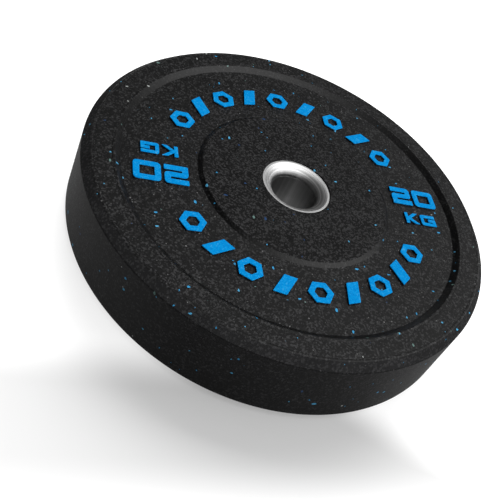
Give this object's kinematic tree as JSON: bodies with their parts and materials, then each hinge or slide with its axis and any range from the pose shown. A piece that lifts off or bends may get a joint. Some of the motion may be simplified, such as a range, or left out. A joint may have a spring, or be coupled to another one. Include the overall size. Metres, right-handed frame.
{
  "type": "bumper plate",
  "caption": "Round rubber weight plate with a raised rim and hub disc, a recessed band of raised marks on both faces and a steel-lined bore for a bar.",
  "frame": {"origin": "on the axis of the bore, at the height of the rear rim face, on which the plate lies", "axes": "+Z along the bore, from the rear face to the front face; +X towards one of the two weight markings of the front face"},
  "size_m": [0.45, 0.45, 0.088],
  "materials": {
    "black_rubber": "pressed crumb rubber, black with fine grey grains and sparse blue flecks, dull",
    "blue_rubber": "bright blue rubber, slightly satin",
    "turned_steel": "turned, with fine concentric lines",
    "plain_steel": "plain sheet steel, hidden in the rubber"
  },
  "bodies": {
    "root": {"anchor_plate": "plain_steel", "front_collar": "turned_steel", "front_digit_0_left": "blue_rubber", "front_digit_0_right": "blue_rubber", "front_digit_2_left": "blue_rubber", "front_digit_2_right": "blue_rubber", "front_hexagon_1_bottom": "blue_rubber", "front_hexagon_1_top": "blue_rubber", "front_hexagon_3_bottom": "blue_rubber", "front_hexagon_3_top": "blue_rubber", "front_hexagon_5_bottom": "blue_rubber", "front_hexagon_5_top": "blue_rubber", "front_hexagon_7_bottom": "blue_rubber", "front_hexagon_7_top": "blue_rubber", "front_hexagon_9_bottom": "blue_rubber", "front_hexagon_9_top": "blue_rubber", "front_letter_g_left": "blue_rubber", "front_letter_g_right": "blue_rubber", "front_letter_k_left": "blue_rubber", "front_letter_k_right": "blue_rubber", "front_slash_2_bottom": "blue_rubber", "front_slash_2_top": "blue_rubber", "front_slash_4_bottom": "blue_rubber", "front_slash_4_top": "blue_rubber", "front_slash_6_bottom": "blue_rubber", "front_slash_6_top": "blue_rubber", "front_slash_8_bottom": "blue_rubber", "front_slash_8_top": "blue_rubber", "hub_sleeve": "turned_steel", "rear_collar": "turned_steel", "rear_digit_0_left": "blue_rubber", "rear_digit_0_right": "blue_rubber", "rear_digit_2_left": "blue_rubber", "rear_digit_2_right": "blue_rubber", "rear_hexagon_1_bottom": "blue_rubber", "rear_hexagon_1_top": "blue_rubber", "rear_hexagon_3_bottom": "blue_rubber", "rear_hexagon_3_top": "blue_rubber", "rear_hexagon_5_bottom": "blue_rubber", "rear_hexagon_5_top": "blue_rubber", "rear_hexagon_7_bottom": "blue_rubber", "rear_hexagon_7_top": "blue_rubber", "rear_hexagon_9_bottom": "blue_rubber", "rear_hexagon_9_top": "blue_rubber", "rear_letter_g_left": "blue_rubber", "rear_letter_g_right": "blue_rubber", "rear_letter_k_left": "blue_rubber", "rear_letter_k_right": "blue_rubber", "rear_slash_2_bottom": "blue_rubber", "rear_slash_2_top": "blue_rubber", "rear_slash_4_bottom": "blue_rubber", "rear_slash_4_top": "blue_rubber", "rear_slash_6_bottom": "blue_rubber", "rear_slash_6_top": "blue_rubber", "rear_slash_8_bottom": "blue_rubber", "rear_slash_8_top": "blue_rubber", "rubber_body": "black_rubber"}
  },
  "joints": []
}
